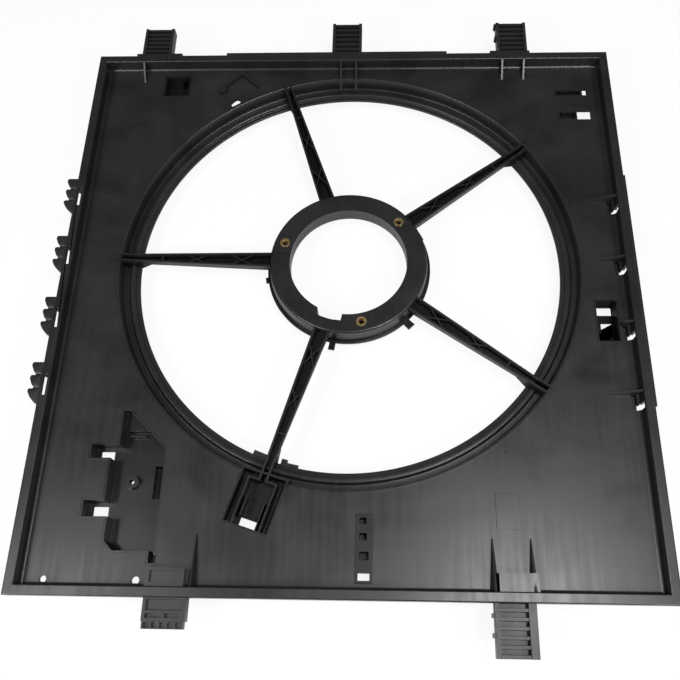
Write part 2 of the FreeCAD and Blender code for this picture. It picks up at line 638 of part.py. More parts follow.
# The bottom left clip is a plain block with two slots and a comb along its end.
block = keep(new_body("bottom_clip_left", "-axis_right - 167.5", "-axis_up - frame_l / 2", "0", "180"))
add_down(block, [box("-21.5", "21.5", "0", "22")], "rim_rise - 1", "rim_lip - 1")
add_down(block, [box("-19.5", "21.5", "21", "29")], "rim_rise - 4", "rim_lip - 4")
cut_down(block, [box("-16", "-1", "15", "19"), box("2", "18", "15", "19")], "rim_rise", "5")
cells = []
for k in range(5):
    cells.append(box(f"{-17.5 + 7.8 * k}", f"{-12 + 7.8 * k}", "23", "28"))
cut_down(block, cells, "rim_rise", "7")
cut_down(block, [box("-18", "18", "2", "12")], "rim_rise", "4")


# --- Wire hooks along the left edge --------------------------------------------------

def wire_hooks(label, y):
    """A thin plate with three barbs, outside the left side's lip."""
    body = new_body(label, "-axis_right - frame_w / 2", f"-axis_up + {y}")
    barbs = [("0", "23.5"), ("-hook_reach + 1.5", "23.5"), ("-hook_reach", "20"), ("-7.5", "11"),
             ("-hook_reach + 0.5", "7.5"), ("-hook_reach + 1", "4.5"), ("-8", "-4.5"),
             ("-hook_reach", "-8"), ("-hook_reach + 0.6", "-11.5"), ("-8", "-17"), ("-1.5", "-25"),
             ("0", "-25")]
    add_down(body, [barbs], "rim_rise - 0.5", "hook_plate")
    return keep(body)


for k, step in enumerate(STEPS, 1):
    wire_hooks("wire_hook_%d" % k, HOOK_AT.format(step))


# --- Side catches in the tray's right corner -----------------------------------------

def side_catch(label, y, fin_from):
    """A fin across the corner, and a shallow pocket with a slit beside it."""
    body = new_body(label, f"-axis_right + {IN_W}", f"-axis_up + {y}")
    low_y = f"(0 - {CATCH_SLIT} - 5)"
    add_down(body, [box("-10.5", "0", low_y, "1.2")], "0", "6 + thin")
    cut_down(body, [box("-10.5 + 1.2", "-1.2", f"{low_y} + 1.2", "-1.2")], "0", "6")
    half = SLIT_W / 2
    cut_down(body, [box("-2.5", "0", f"-{CATCH_SLIT} - {half}", f"-{CATCH_SLIT} + {half}")], "1", "8 + thin")
    fin = [(f"-{fin_from}", "0"), ("0", "0"), ("0", "rim_rise - 2")]
    if fin_from < FIN_LONG:
        fin.append((f"-{fin_from}", f"(rim_rise - 2) * {1 - fin_from / FIN_LONG}"))
    add_slab(body, "XZ_Plane", fin, "0", "2.4")
    return body


# The third fin stops short, at the edge of the latch well.
for k, (step, fin_from) in enumerate(zip(STEPS, (FIN_LONG, FIN_LONG, FIN_SHORT, FIN_LONG)), 1):
    form = side_catch("side_catch_%d_form" % k, CATCH_AT.format(step), fin_from)
    catch = doc.addObject("Part::Cut", "side_catch_%d" % k)
    catch.Label = "side_catch_%d" % k
    catch.Base = form
    catch.Tool = rim_right
    keep(catch)


# --- Pockets formed in the panel -----------------------------------------------------

def cup(label, edges, depth):
    """An open-topped box set flush in the panel."""
    body = keep(tray_body(label))
    x_low, x_high, y_low, y_high = edges
    add_down(body, [box(*edges)], "0", depth)
    cut_down(body, [box(f"{x_low} + thin", f"{x_high} - thin", f"{y_low} + thin", f"{y_high} - thin")],
             "0", f"{depth} - thin")
    return body


recess = cup("corner_recess", RECESS, "recess_low")
add_down(recess, [box("-225", "-210", "303", "318")], "-recess_low + thin / 2", "8")
cut_down(recess, [box("-225 + thin", "-210 - thin", "303 + thin", "318 - thin")], "0",
         "recess_low + 8 - 1.5 * thin")
well = cup("latch_well", WELL, "well_low")
WELL_IN = f"{IN_W} - 37.5 + thin"
cut_down(well, [box(WELL_IN, f"{IN_W} - 13", "-21", "-11"),
                [(WELL_IN, "-52"), (f"{IN_W} - 18.5", "-52"), (f"{IN_W} - 16.5", "-48"),
                 (f"{IN_W} - 13.5", "-48"), (f"{IN_W} - 13.5", "-31"), (f"{IN_W} - 26.5", "-31"),
                 (f"{IN_W} - 26.5", "-43"), (WELL_IN, "-43")]],
         "0", "well_low + 1")
cup("tongue_slot_upper", SLOT_UPPER, "slot_low")
cup("tongue_slot_lower", SLOT_LOWER, "slot_low")

# Module bay: a deep tray with a foot, two latch windows, a screw boss, a raised corner
# with a slot in front of it, and a deep keyway.
bay = keep(tray_body("module_bay"))
add_down(bay, [BAY], "0", "bay_low")
cut_down(bay, [BAY_IN], "0", "bay_low - thin")
cut_down(bay, [[("-195 + thin", "-308 + thin"), ("-183 - thin", "-308 + thin"),
                ("-183 - thin", "-296 - thin"), ("-186 - thin", "-296 - thin"),
                ("-186 - thin", "-290"), ("-195 + thin", "-290")]], "0", "bay_low - thin")
cut_down(bay, [box("-263", "-248.5", "-200 + thin", "-187"), box("-263", "-247", "-262 + thin", "-247")],
         "0", "bay_low + 1")
add_down(bay, [("-224", "-221", "7.5")], "-bay_low + 8", "8")
cut_down(bay, [("-224", "-221", "2.5")], "-bay_low + 9", "9.5")
add_down(bay, [box("-204", "-190", "-240", "-200")], "-bay_low + thin / 2", "12.2 + thin / 2")
cut_down(bay, [box("-204 + thin", "-190 - thin", "-240 + thin", "-200 - thin")], "-bay_low + thin", "12.2")
add_down(bay, [box("-232", "-214", "-171.7", "-169.5"),
               [("-239", "-144"), ("-239", "-165.5"), ("-208", "-165.5"), ("-230.8", "-144")]],
         "-bay_low + 9", "8")

# Strip with three blind squares and one window, beside the opening's foot.
strip = keep(tray_body("tie_strip"))
add_down(strip, [box(*STRIP)], "0", "strip_low")
cut_down(strip, [box("20.5", "27.5", "-264", "-258"), box("20.5", "28", "-280", "-273.5"),
                 box("20.5", "30", "-300", "-292")], "0", "strip_low - thin")
cut_down(strip, [box("19", "31", "-320", "-312")], "1", "strip_low + 2")

# Bent wire rib above the opening, with a short peg at its lower end.
rib = keep(tray_body("wire_rib"))
add_down(rib, [[("-171.5", "293.5"), ("-168.9", "290.7"), ("-142", "316"), ("-121", "296.4"),
                ("-118.4", "299.2"), ("-142", "321")]], "4.5", "4.5")
add_down(rib, [("-166", "291.5", "5")], "5.5", "5.5")

# Connector holder on the lower left strut's line: a deep cup with a box standing in it.
holder = new_body("connector_holder_form", "0", "0", "0", "strut_angle_d")
NEAR = f"({RING_R} - 9)"
FAR = f"({RING_R} - 9 + holder_l)"
SIDE = "(holder_w / 2)"
add_down(holder, [box(NEAR, FAR, f"-{SIDE}", SIDE)], "0", "holder_low")
cut_down(holder, [box(f"{NEAR} + thin", f"{FAR} - thin", f"-{SIDE} + thin", f"{SIDE} - thin")],
         "0", "holder_low - thin")
for side in ("-", ""):
    wall_in = f"{side}({SIDE} - 9.5)"
    wall_out = f"{side}({SIDE} - 9.5 - thin)"
    add_down(holder, [box(f"{NEAR} + 8", f"{FAR} - 1", wall_in, wall_out)], "0", "holder_low - thin / 2")
    step_in = f"{side}(strut_w_ring / 2 - thin)"
    add_down(holder, [box(f"{NEAR} + 8", f"{NEAR} + 8 + thin", step_in, wall_in)],
             "0", "holder_low - thin / 2")
    neck = box(f"{NEAR} + 0.5", f"{NEAR} + 8 + thin", f"{side}(strut_w_ring / 2)", step_in)
    add_down(holder, [neck], "0", "holder_low - thin / 2")
    add_down(holder, [box(f"{NEAR} + 30", f"{FAR} - 1", f"{side}({SIDE} - 15)", f"{side}({SIDE} - 15 - 1.6)")],
             "-3", "holder_low - 3 - thin / 2")
cut_down(holder, [box(f"{FAR} - 12", f"{FAR} - thin", "-11", "10")], "1", "holder_low + 2")
holder_cut = doc.addObject("Part::Cut", "connector_holder")
holder_cut.Label = "connector_holder"
holder_cut.Base = holder
holder_cut.Tool = struts[3]
keep(holder_cut)

# --- Check every object, then write the nodes ----------------------------------------

doc.recompute()
faults = []
for item in doc.Objects:
    if {"Invalid", "Error"} & set(item.State):
        faults.append(f"{item.Label} ({item.Name}) is {item.State}")
for pocket in cuts:
    before = pocket.BaseFeature.Shape.Volume
    if before - pocket.Shape.Volume < 0.5:
        faults.append(f"{pocket.Name} takes nothing off {pocket.getParent().Label}")
for node in nodes:
    if node.Shape.isNull() or not node.Shape.isValid() or not node.Shape.Solids:
        faults.append(f"{node.Label} has no sound shape")
if faults:
    raise RuntimeError("\n".join(faults))

os.makedirs("parts", exist_ok=True)
total = 0
for node in nodes:
    node.Shape.exportStep(os.path.join("parts", node.Label + ".step"))
    total += node.Shape.Volume
    print(f"{node.Label:22s} solids {len(node.Shape.Solids)} volume {node.Shape.Volume / 1000:8.2f} cm3")
print(f"{len(nodes)} nodes, {total / 1000:.0f} cm3")
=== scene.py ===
import bpy
import math
import numpy as np
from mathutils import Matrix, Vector


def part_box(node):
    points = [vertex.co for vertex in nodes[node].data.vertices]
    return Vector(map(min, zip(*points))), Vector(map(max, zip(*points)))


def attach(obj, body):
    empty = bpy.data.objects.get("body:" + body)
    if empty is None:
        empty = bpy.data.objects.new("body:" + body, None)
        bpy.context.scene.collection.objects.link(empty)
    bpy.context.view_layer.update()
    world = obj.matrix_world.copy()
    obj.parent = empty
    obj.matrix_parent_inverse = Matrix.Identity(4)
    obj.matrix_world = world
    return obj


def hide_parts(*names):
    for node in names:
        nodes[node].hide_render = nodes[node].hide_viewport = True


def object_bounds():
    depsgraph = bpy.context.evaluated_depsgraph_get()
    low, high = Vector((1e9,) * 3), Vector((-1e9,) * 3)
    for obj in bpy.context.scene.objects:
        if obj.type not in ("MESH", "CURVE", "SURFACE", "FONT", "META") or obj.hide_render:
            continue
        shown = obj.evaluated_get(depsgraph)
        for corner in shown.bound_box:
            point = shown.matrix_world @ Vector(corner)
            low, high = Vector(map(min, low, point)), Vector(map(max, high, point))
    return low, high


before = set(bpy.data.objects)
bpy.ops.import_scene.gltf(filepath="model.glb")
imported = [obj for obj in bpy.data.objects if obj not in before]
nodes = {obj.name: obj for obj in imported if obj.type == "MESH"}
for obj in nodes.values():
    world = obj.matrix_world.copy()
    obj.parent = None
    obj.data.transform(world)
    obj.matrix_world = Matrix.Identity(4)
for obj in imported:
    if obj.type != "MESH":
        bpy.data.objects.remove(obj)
cad_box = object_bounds()
scene = bpy.context.scene

# --- Camera ---------------------------------------------------------------------------
# A pinhole camera held above the tray's lower edge, looking down into the open side.
# Places are in metres in the shroud's own frame: the fan's axis is Z.

camera = bpy.data.cameras.new("camera")
camera.sensor_width = 36.0
camera.lens = 38.082
camera.shift_x = -0.02254
camera.shift_y = 0.03936
camera.clip_start = 0.05
camera.clip_end = 20.0
camera_object = bpy.data.objects.new("camera", camera)
camera_object.location = (0.03729, -0.42014, 0.74119)
camera_object.rotation_euler = (0.369768, 0.029308, 0.017364)
scene.collection.objects.link(camera_object)
scene.camera = camera_object

# --- Back panel -----------------------------------------------------------------------
# The flat floor of the tray, 2.8 mm of glass-filled black nylon. It comes out of a
# polished mould satin, with a faint flow pattern, fine grain, dust and a few scuffs.

PANEL_EDGE = 0.0005
FINE_EDGE = 0.0004
SHARP_FROM = math.radians(28)
ROUNDED_FROM = math.radians(35)
FLAT_WITHIN = math.radians(0.6)


def link(tree, source, target):
    """Join two sockets, each given as (node, socket name or number)."""
    tree.links.new(source[0].outputs[source[1]], target[0].inputs[target[1]])


def nylon(name, dark, light, rough, grain, painted_depth_shade=None):
    """Black nylon. Colour and gloss drift with a cloudy flow noise, gloss also with thin
    streaks along Y, dust specks are the near points of small cells, and the bump is a
    fine grain over slight sink waves. The last argument, when given, is (upper height,
    lower height, share): painted shade, the colour falls to that share of itself from
    the upper height to the lower one, as shade would in recesses. All of it follows
    Object coordinates."""
    material = bpy.data.materials.new(name)
    material.use_nodes = True
    tree = material.node_tree
    shader = tree.nodes["Principled BSDF"]
    place = tree.nodes.new("ShaderNodeTexCoord")

    flow_map = tree.nodes.new("ShaderNodeMapping")
    flow_map.inputs["Scale"].default_value = (9.0, 12.0, 9.0)
    flow_map.inputs["Rotation"].default_value = (0.0, 0.0, 0.5)
    link(tree, (place, "Object"), (flow_map, "Vector"))
    flow = tree.nodes.new("ShaderNodeTexNoise")
    flow.inputs["Scale"].default_value = 1.6
    flow.inputs["Detail"].default_value = 5.0
    flow.inputs["Distortion"].default_value = 0.6
    link(tree, (flow_map, "Vector"), (flow, "Vector"))
    tint = tree.nodes.new("ShaderNodeValToRGB")
    tint.color_ramp.elements[0].position = 0.32
    tint.color_ramp.elements[0].color = (dark, dark, dark * 1.03, 1.0)
    tint.color_ramp.elements[1].position = 0.72
    tint.color_ramp.elements[1].color = (light, light, light * 1.02, 1.0)
    link(tree, (flow, "Fac"), (tint, "Fac"))

    cells = tree.nodes.new("ShaderNodeTexVoronoi")
    cells.inputs["Scale"].default_value = 120.0
    link(tree, (place, "Object"), (cells, "Vector"))
    speck = tree.nodes.new("ShaderNodeMapRange")
    speck.inputs["From Min"].default_value = 0.02
    speck.inputs["From Max"].default_value = 0.07
    speck.inputs["To Min"].default_value = 0.55
    speck.inputs["To Max"].default_value = 0.0
    link(tree, (cells, "Distance"), (speck, "Value"))
    patch = tree.nodes.new("ShaderNodeTexNoise")
    patch.inputs["Scale"].default_value = 22.0
    patch.inputs["Detail"].default_value = 3.0
    link(tree, (place, "Object"), (patch, "Vector"))
    dusty = tree.nodes.new("ShaderNodeMapRange")
    dusty.inputs["From Min"].default_value = 0.52
    dusty.inputs["From Max"].default_value = 0.68
    link(tree, (patch, "Fac"), (dusty, "Value"))
    share = tree.nodes.new("ShaderNodeMath")
    share.operation = "MULTIPLY"
    link(tree, (speck, "Result"), (share, 0))
    link(tree, (dusty, "Result"), (share, 1))
    colour = tree.nodes.new("ShaderNodeMixRGB")
    colour.inputs["Color2"].default_value = (0.16, 0.155, 0.15, 1.0)
    link(tree, (share, "Value"), (colour, "Fac"))
    link(tree, (tint, "Color"), (colour, "Color1"))
    link(tree, (colour, "Color"), (shader, "Base Color"))

    # Painted shade: the colour is multiplied down with depth below the upper height.
    if painted_depth_shade:
        upper, lower, darkest = painted_depth_shade
        parts = tree.nodes.new("ShaderNodeSeparateXYZ")
        link(tree, (place, "Object"), (parts, "Vector"))
        shade = tree.nodes.new("ShaderNodeMapRange")
        shade.inputs["From Min"].default_value = lower
        shade.inputs["From Max"].default_value = upper
        shade.inputs["To Min"].default_value = darkest
        shade.inputs["To Max"].default_value = 1.0
        link(tree, (parts, "Z"), (shade, "Value"))
        darker = tree.nodes.new("ShaderNodeMixRGB")
        darker.blend_type = "MULTIPLY"
        darker.inputs["Fac"].default_value = 1.0
        link(tree, (colour, "Color"), (darker, "Color1"))
        link(tree, (shade, "Result"), (darker, "Color2"))
        link(tree, (darker, "Color"), (shader, "Base Color"))

    streak_map = tree.nodes.new("ShaderNodeMapping")
    streak_map.inputs["Scale"].default_value = (150.0, 9.0, 9.0)
    link(tree, (place, "Object"), (streak_map, "Vector"))
    streak = tree.nodes.new("ShaderNodeTexNoise")
    streak.inputs["Scale"].default_value = 1.0
    streak.inputs["Detail"].default_value = 1.5
    link(tree, (streak_map, "Vector"), (streak, "Vector"))
    both = tree.nodes.new("ShaderNodeMath")
    both.operation = "ADD"
    link(tree, (flow, "Fac"), (both, 0))
    link(tree, (streak, "Fac"), (both, 1))
    gloss = tree.nodes.new("ShaderNodeMapRange")
    gloss.inputs["From Min"].default_value = 0.7
    gloss.inputs["From Max"].default_value = 1.3
    gloss.inputs["To Min"].default_value = rough - 0.035
    gloss.inputs["To Max"].default_value = rough + 0.06
    link(tree, (both, 0), (gloss, "Value"))
    link(tree, (gloss, "Result"), (shader, "Roughness"))

    fine = tree.nodes.new("ShaderNodeTexNoise")
    fine.inputs["Scale"].default_value = 700.0
    fine.inputs["Detail"].default_value = 2.0
    link(tree, (place, "Object"), (fine, "Vector"))
    fine_bump = tree.nodes.new("ShaderNodeBump")
    fine_bump.inputs["Strength"].default_value = grain
    fine_bump.inputs["Distance"].default_value = 0.0002
    link(tree, (fine, "Fac"), (fine_bump, "Height"))
    sink = tree.nodes.new("ShaderNodeTexNoise")
    sink.inputs["Scale"].default_value = 34.0
    sink.inputs["Detail"].default_value = 2.0
    link(tree, (place, "Object"), (sink, "Vector"))
    sink_bump = tree.nodes.new("ShaderNodeBump")
    sink_bump.inputs["Strength"].default_value = 0.05
    sink_bump.inputs["Distance"].default_value = 0.001
    link(tree, (sink, "Fac"), (sink_bump, "Height"))
    link(tree, (fine_bump, "Normal"), (sink_bump, "Normal"))
    link(tree, (sink_bump, "Normal"), (shader, "Normal"))
    return material


def soft_shading(limit):
    """A node group that shades faces smooth and keeps edges sharper than a limit sharp."""
    group = bpy.data.node_groups.new("soft_shading", "GeometryNodeTree")
    group.interface.new_socket("Geometry", in_out="INPUT", socket_type="NodeSocketGeometry")
    group.interface.new_socket("Geometry", in_out="OUTPUT", socket_type="NodeSocketGeometry")
    start = group.nodes.new("NodeGroupInput")
    end = group.nodes.new("NodeGroupOutput")
    angle = group.nodes.new("GeometryNodeInputMeshEdgeAngle")
    gentle = group.nodes.new("FunctionNodeCompare")
    gentle.data_type = "FLOAT"
    gentle.operation = "LESS_THAN"
    gentle.inputs["B"].default_value = limit
    faces = group.nodes.new("GeometryNodeSetShadeSmooth")
    edges = group.nodes.new("GeometryNodeSetShadeSmooth")
    edges.domain = "EDGE"
    link(group, (start, "Geometry"), (faces, "Geometry"))
    link(group, (faces, "Geometry"), (edges, "Geometry"))
    link(group, (angle, "Unsigned Angle"), (gentle, "A"))
    link(group, (gentle, "Result"), (edges, "Shade Smooth"))
    link(group, (edges, "Geometry"), (end, "Geometry"))
    return group


SOFT = soft_shading(SHARP_FROM)


def moulded(name, material, edge):
    """Finish a CAD node: its triangles are joined, flat faces merged, the sharp edges
    rounded to a width as a mould leaves them, and the curved faces shaded smooth."""
    piece = nodes[name]
    weld = piece.modifiers.new("joined", "WELD")
    weld.merge_threshold = 1e-6
    flat = piece.modifiers.new("flat_faces", "DECIMATE")
    flat.decimate_type = "DISSOLVE"
    flat.angle_limit = FLAT_WITHIN
    bevel = piece.modifiers.new("edges", "BEVEL")
    bevel.width = edge
    bevel.segments = 2
    bevel.limit_method = "ANGLE"
    bevel.angle_limit = ROUNDED_FROM
    bevel.miter_outer = "MITER_ARC"
    shading = piece.modifiers.new("shading", "NODES")
    shading.node_group = SOFT
    normals = piece.modifiers.new("normals", "WEIGHTED_NORMAL")
    normals.keep_sharp = True
    normals.weight = 100
    piece.data.materials.clear()
    piece.data.materials.append(material)


panel_nylon = nylon("panel_nylon", 0.008, 0.019, 0.33, 0.04)
moulded("back_panel", panel_nylon, PANEL_EDGE)

# --- Rim ------------------------------------------------------------------------------
# Four walls with a flat top that the radiator's seal lies on, moulded in one with the
# panel. The flat top is a little more worn than the panel, so it is a shade lighter.

RIM_EDGE = 0.0007
rim_nylon = nylon("rim_nylon", 0.009, 0.016, 0.32, 0.12)
for name in ("rim_top", "rim_bottom", "rim_left", "rim_right"):
    moulded(name, rim_nylon, RIM_EDGE)

# --- Stepped ring ---------------------------------------------------------------------
# The throat that the fan runs in: shoulder, groove, rounded bead and lip in front, and
# the fan's collar behind. It is one turned shape in the mould, with every edge rounded.

METRE = 0.001
OPENING_R = 249.2
COLLAR_R = 264.2
COLLAR_END = -34.0
LIP_Z = -16.0
BEAD_Z = LIP_Z + 3.6
WALL = 2.8
TURNS = 720


def rounded(corners, steps=7):
    """A closed outline with soft corners. Each corner (x, y, r) becomes a quadratic
    curve between the points that lie r along both of its edges."""
    data = np.array(corners, dtype=float)
    at = data[:, :2]
    back = np.roll(at, 1, axis=0) - at
    ahead = np.roll(at, -1, axis=0) - at
    back_long = np.linalg.norm(back, axis=1, keepdims=True)
    ahead_long = np.linalg.norm(ahead, axis=1, keepdims=True)
    reach = np.minimum(data[:, 2:3], 0.48 * np.minimum(back_long, ahead_long))
    first = at + back / back_long * reach
    last = at + ahead / ahead_long * reach
    s = np.linspace(0.0, 1.0, steps)[None, :, None]
    curve = (1 - s) ** 2 * first[:, None] + 2 * s * (1 - s) * at[:, None] + s ** 2 * last[:, None]
    return curve.reshape(-1, 2)


def mesh_piece(name, points, faces, material):
    """A new piece from an array of points in millimetres and a list of faces. Its faces
    are shaded smooth up to 40 degrees, and it rides on the shroud's one body."""
    mesh = bpy.data.meshes.new(name)
    mesh.from_pydata((points * METRE).tolist(), [], faces)
    mesh.update()
    mesh.polygons.foreach_set("use_smooth", np.ones(len(mesh.polygons), dtype=bool))
    mesh.set_sharp_from_angle(angle=math.radians(40))
    mesh.materials.append(material)
    piece = bpy.data.objects.new(name, mesh)
    scene.collection.objects.link(piece)
    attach(piece, "root")
    return piece


def wrap_grid(rows, columns):
    """The quads of a grid that closes on itself both ways, rows x columns points."""
    row = np.arange(rows)[:, None]
    column = np.arange(columns)[None, :]
    next_row = (row + 1) % rows
    next_column = (column + 1) % columns
    quads = np.stack([row * columns + column, row * columns + next_column,
                      next_row * columns + next_column, next_row * columns + column], axis=-1)
    return quads.reshape(-1, 4)


def lathe(outline, turns):
    """Points of a closed outline (radius, height) carried round the fan's axis."""
    angle = np.linspace(0.0, 2 * np.pi, turns, endpoint=False)[None, :]
    radius = outline[:, 0:1]
    height = outline[:, 1:2]
    points = np.stack([radius * np.cos(angle), radius * np.sin(angle),
                       height + 0.0 * angle], axis=-1)
    return points.reshape(-1, 3)


def box_points(along, across, height):
    """The eight corners of a box from its three ranges."""
    grid = np.array(np.meshgrid(along, across, height, indexing="ij"), dtype=float)
    return grid.reshape(3, -1).T


BOX_FACES = np.array([[0, 1, 3, 2], [4, 6, 7, 5], [0, 4, 5, 1], [2, 3, 7, 6], [0, 2, 6, 4],
                      [1, 5, 7, 3]])


def turn(points, degrees):
    """Points turned about the fan's axis."""
    a = math.radians(degrees)
    matrix = np.array([[math.cos(a), math.sin(a), 0], [-math.sin(a), math.cos(a), 0], [0, 0, 1]])
    return points @ matrix


def carve(piece, points, faces, operation="DIFFERENCE"):
    """Take a closed shape off a piece, or join it, and keep the result as its mesh."""
    mesh = bpy.data.meshes.new("tool")
    mesh.from_pydata((points * METRE).tolist(), [], faces.tolist())
    tool = bpy.data.objects.new("tool", mesh)
    scene.collection.objects.link(tool)
    cut = piece.modifiers.new("carve", "BOOLEAN")
    cut.operation = operation
    cut.object = tool
    cut.solver = "EXACT"
    seen = bpy.context.evaluated_depsgraph_get()
    result = bpy.data.meshes.new_from_object(piece.evaluated_get(seen))
    piece.modifiers.remove(cut)
    old = piece.data
    piece.data = result
    result.name = old.name + "_carved"
    bpy.data.meshes.remove(old)
    bpy.data.objects.remove(tool)
    bpy.data.meshes.remove(mesh)


ring_outline = rounded([
    (OPENING_R, LIP_Z, 0.8),
    (OPENING_R, LIP_Z - WALL, 0.6),
    (COLLAR_R, LIP_Z - WALL, 0.5),
    (COLLAR_R, COLLAR_END, 0.6),
    (COLLAR_R + WALL, COLLAR_END, 0.6),
    (COLLAR_R + WALL, LIP_Z - WALL, 0.5),
    (OPENING_R + 22.2, LIP_Z - WALL, 1.0),
    (OPENING_R + 22.9, -WALL, 0.3),
    (OPENING_R + 25, -WALL, 0.1),
    (OPENING_R + 25, 0.0, 0.02),
    (OPENING_R + 20.9, 0.0, 1.6),
    (OPENING_R + 19.4, LIP_Z, 1.6),
    (OPENING_R + 12.6, LIP_Z, 0.8),
    (OPENING_R + 11.1, BEAD_Z, 1.7),
    (OPENING_R + 5.9, BEAD_Z, 1.7),
    (OPENING_R + 5.0, LIP_Z + 0.4, 0.5),
])[::-1]
ring_points = lathe(ring_outline, TURNS)
ring_faces = wrap_grid(len(ring_outline), TURNS).tolist()
ring = mesh_piece("stepped_ring", ring_points, ring_faces, rim_nylon)
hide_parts("venturi_ring")

HOLDER_ANGLE = 252.1
HOLDER_NEAR = OPENING_R + 16
HOLDER_FAR = HOLDER_NEAR + 62
holder_space = turn(box_points((HOLDER_NEAR, HOLDER_FAR), (-26, 26), (-21, 3)), HOLDER_ANGLE)
carve(ring, holder_space, BOX_FACES)
LUGS = ((-5.6, -1.6, 5.0), (1.9, 3.4, 6.2), (3.4, 6.4, 3.2))
for start, end, reach in LUGS:
    half = math.radians(end - start) / 2 * OPENING_R
    lug = box_points((OPENING_R - reach, OPENING_R + 1.5), (-half, half),
                     (LIP_Z - WALL + 0.1, LIP_Z - 0.1))
    carve(ring, turn(lug, HOLDER_ANGLE + (start + end) / 2), BOX_FACES, "UNION")

# --- Motor ring -----------------------------------------------------------------------
# The ring that the fan's motor is bolted into, carried by the five struts. Its front
# edge is well rounded; three bosses hold the inserts.

# The colour falls to 0.45 of itself from 2 to 7 mm below the face: painted shade in the hub's
# hollows.
hub_nylon = nylon("hub_nylon", 0.008, 0.017, 0.34, 0.16, (-0.002, -0.007, 0.45))
HUB_EDGE = 0.0008
moulded("motor_ring", hub_nylon, HUB_EDGE)

# --- Threaded inserts -----------------------------------------------------------------
# Three M6 brass bushes, turned and knurled, pressed in hot. Each has a thin flange on
# the face, a countersunk mouth and a real helical thread.

BOLT_R = 79.6
PITCH = 1.0
THREAD_R = 2.75
THREAD_DEEP = 0.5
THREAD_ROWS = 97
BUSH_TURNS = 96
KNURLS = 24


def brass_finish(name, colour, rough):
    """Turned brass, dulled: fine turning marks in the bump and a brown film in patches."""
    material = bpy.data.materials.new(name)
    material.use_nodes = True
    tree = material.node_tree
    shader = tree.nodes["Principled BSDF"]
    shader.inputs["Metallic"].default_value = 1.0
    place = tree.nodes.new("ShaderNodeTexCoord")
    film = tree.nodes.new("ShaderNodeTexNoise")
    film.inputs["Scale"].default_value = 420.0
    film.inputs["Detail"].default_value = 4.0
    link(tree, (place, "Object"), (film, "Vector"))
    tint = tree.nodes.new("ShaderNodeValToRGB")
    tint.color_ramp.elements[0].position = 0.35
    tint.color_ramp.elements[0].color = tuple(0.55 * c for c in colour) + (1.0,)
    tint.color_ramp.elements[1].position = 0.62
    tint.color_ramp.elements[1].color = tuple(colour) + (1.0,)
    link(tree, (film, "Fac"), (tint, "Fac"))
    link(tree, (tint, "Color"), (shader, "Base Color"))
    gloss = tree.nodes.new("ShaderNodeMapRange")
    gloss.inputs["To Min"].default_value = rough - 0.1
    gloss.inputs["To Max"].default_value = rough + 0.1
    link(tree, (film, "Fac"), (gloss, "Value"))
    link(tree, (gloss, "Result"), (shader, "Roughness"))
    bump = tree.nodes.new("ShaderNodeBump")
    bump.inputs["Strength"].default_value = 0.15
    bump.inputs["Distance"].default_value = 0.00005
    link(tree, (film, "Fac"), (bump, "Height"))
    link(tree, (bump, "Normal"), (shader, "Normal"))
    return material


def insert_points(turns):
    """A bush as an outline carried round its axis. In the bore the radius swings by a
    triangle wave of height minus turn times pitch, which is the thread; on the body it
    swings with the angle, which is the knurl."""
    bore = np.stack([np.full(THREAD_ROWS, THREAD_R),
                     np.linspace(-11.6, -0.9, THREAD_ROWS)], axis=-1)
    rest = np.array([(3.5, 0.28), (5.85, 0.3), (6.0, 0.15), (6.0, 0.0), (5.0, 0.0), (5.0, -3.0),
                     (4.85, -3.3), (4.85, -4.3), (5.0, -4.6), (5.0, -11.6), (4.6, -12.0),
                     (3.2, -12.0)])
    outline = np.concatenate([bore, rest])
    angle = np.linspace(0.0, 2 * np.pi, turns, endpoint=False)[None, :]
    radius = outline[:, 0:1] + 0.0 * angle
    height = outline[:, 1:2] + 0.0 * angle
    swing = np.abs((height / PITCH - angle / (2 * np.pi)) % 1.0 - 0.5) * 2
    row = np.arange(len(outline))[:, None]
    in_bore = row < len(bore)
    knurled = (row >= len(bore) + 4) & (row < len(bore) + 10)
    radius = radius - in_bore * (swing - 0.5) * THREAD_DEEP
    radius = radius - knurled * 0.14 * (np.abs((angle * KNURLS / np.pi) % 2.0 - 1.0))
    points = np.stack([radius * np.cos(angle), radius * np.sin(angle), height], axis=-1)
    return points.reshape(-1, 3), len(outline)


brass = brass_finish("dull_brass", (0.50, 0.37, 0.17), 0.42)
# The brass in the threaded bore is made far darker: painted shade inside the bore.
bore_painted_shade_brass = brass_finish("thread_brass_painted_shade", (0.10, 0.065, 0.03), 0.6)
bush, bush_rows = insert_points(BUSH_TURNS)
bush_faces = wrap_grid(bush_rows, BUSH_TURNS)[:, ::-1]
in_thread = bush_faces.min(axis=1) < BUSH_TURNS * (THREAD_ROWS - 2)
for place, degrees in zip("abc", (41.9, 161.9, 281.9)):
    moved = turn(bush + np.array([BOLT_R, 0.0, 0.0]), degrees)
    insert = mesh_piece("insert_" + place, moved, bush_faces.tolist(), brass)
    insert.data.materials.append(bore_painted_shade_brass)
    insert.data.polygons.foreach_set("material_index", in_thread.astype(int))
    if place == "a":
        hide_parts("threaded_inserts")

# --- Struts ---------------------------------------------------------------------------
# Five open channels from the motor ring to the panel, stiffened by crossed ribs. The
# mould's steel is spark-eroded there, so the surface is duller and coarser.

# The colour falls to 0.08 of itself from 2 to 5.5 mm deep: painted shade down in the channels.
strut_nylon = nylon("strut_nylon", 0.010, 0.017, 0.42, 0.3, (-0.002, -0.0055, 0.08))
DULL = 0.3
strut_shader = strut_nylon.node_tree.nodes["Principled BSDF"]
strut_shader.inputs["Specular IOR Level"].default_value = DULL
for place in ("upper_right", "upper_left", "left", "lower_left", "lower_right"):
    moulded("strut_" + place, strut_nylon, FINE_EDGE)

